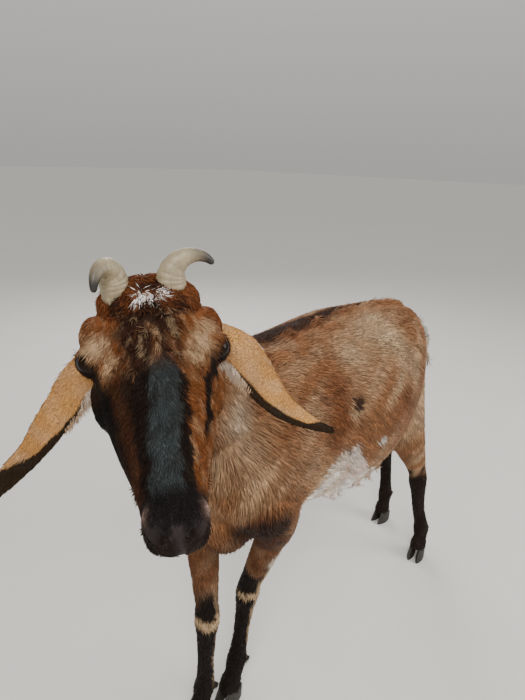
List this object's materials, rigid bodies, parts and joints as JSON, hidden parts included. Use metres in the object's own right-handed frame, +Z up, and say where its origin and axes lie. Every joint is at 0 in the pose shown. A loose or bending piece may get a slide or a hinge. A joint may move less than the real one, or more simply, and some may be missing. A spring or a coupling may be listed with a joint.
{
  "type": "nanny goat",
  "caption": "Standing lop-eared doe with short hooked horns, roman nose, short coat, small udder and tail, head turned and lowered.",
  "frame": {"origin": "on the ground under the middle of the bounding box, at the level of the soles", "axes": "-Y forward from tail to chest, +X to the animal's left, +Z up"},
  "size_m": [0.4652, 1.1752, 0.9622],
  "materials": {
    "coat_brown": "short brown hair",
    "coat_face": "short dark brown hair",
    "coat_tan": "very short tan hair",
    "coat_black": "short black hair",
    "skin": "bare pinkish skin",
    "horn": "ringed grey-beige horn",
    "hoof": "dark hoof horn",
    "eye": "wet and glossy"
  },
  "bodies": {
    "root": {"torso": "coat_brown", "neck": "coat_brown", "head": "coat_face", "ear_left": "coat_tan", "ear_right": "coat_tan", "eye_left": "eye", "eye_right": "eye", "horn_left": "horn", "horn_right": "horn", "leg_fore_left": "coat_black", "leg_fore_right": "coat_black", "leg_hind_left": "coat_black", "leg_hind_right": "coat_black", "tail": "coat_brown", "udder": "skin", "claw_fore_left_left": "hoof", "claw_fore_left_right": "hoof", "claw_fore_right_left": "hoof", "claw_fore_right_right": "hoof", "claw_hind_left_left": "hoof", "claw_hind_left_right": "hoof", "claw_hind_right_left": "hoof", "claw_hind_right_right": "hoof"}
  },
  "joints": []
}
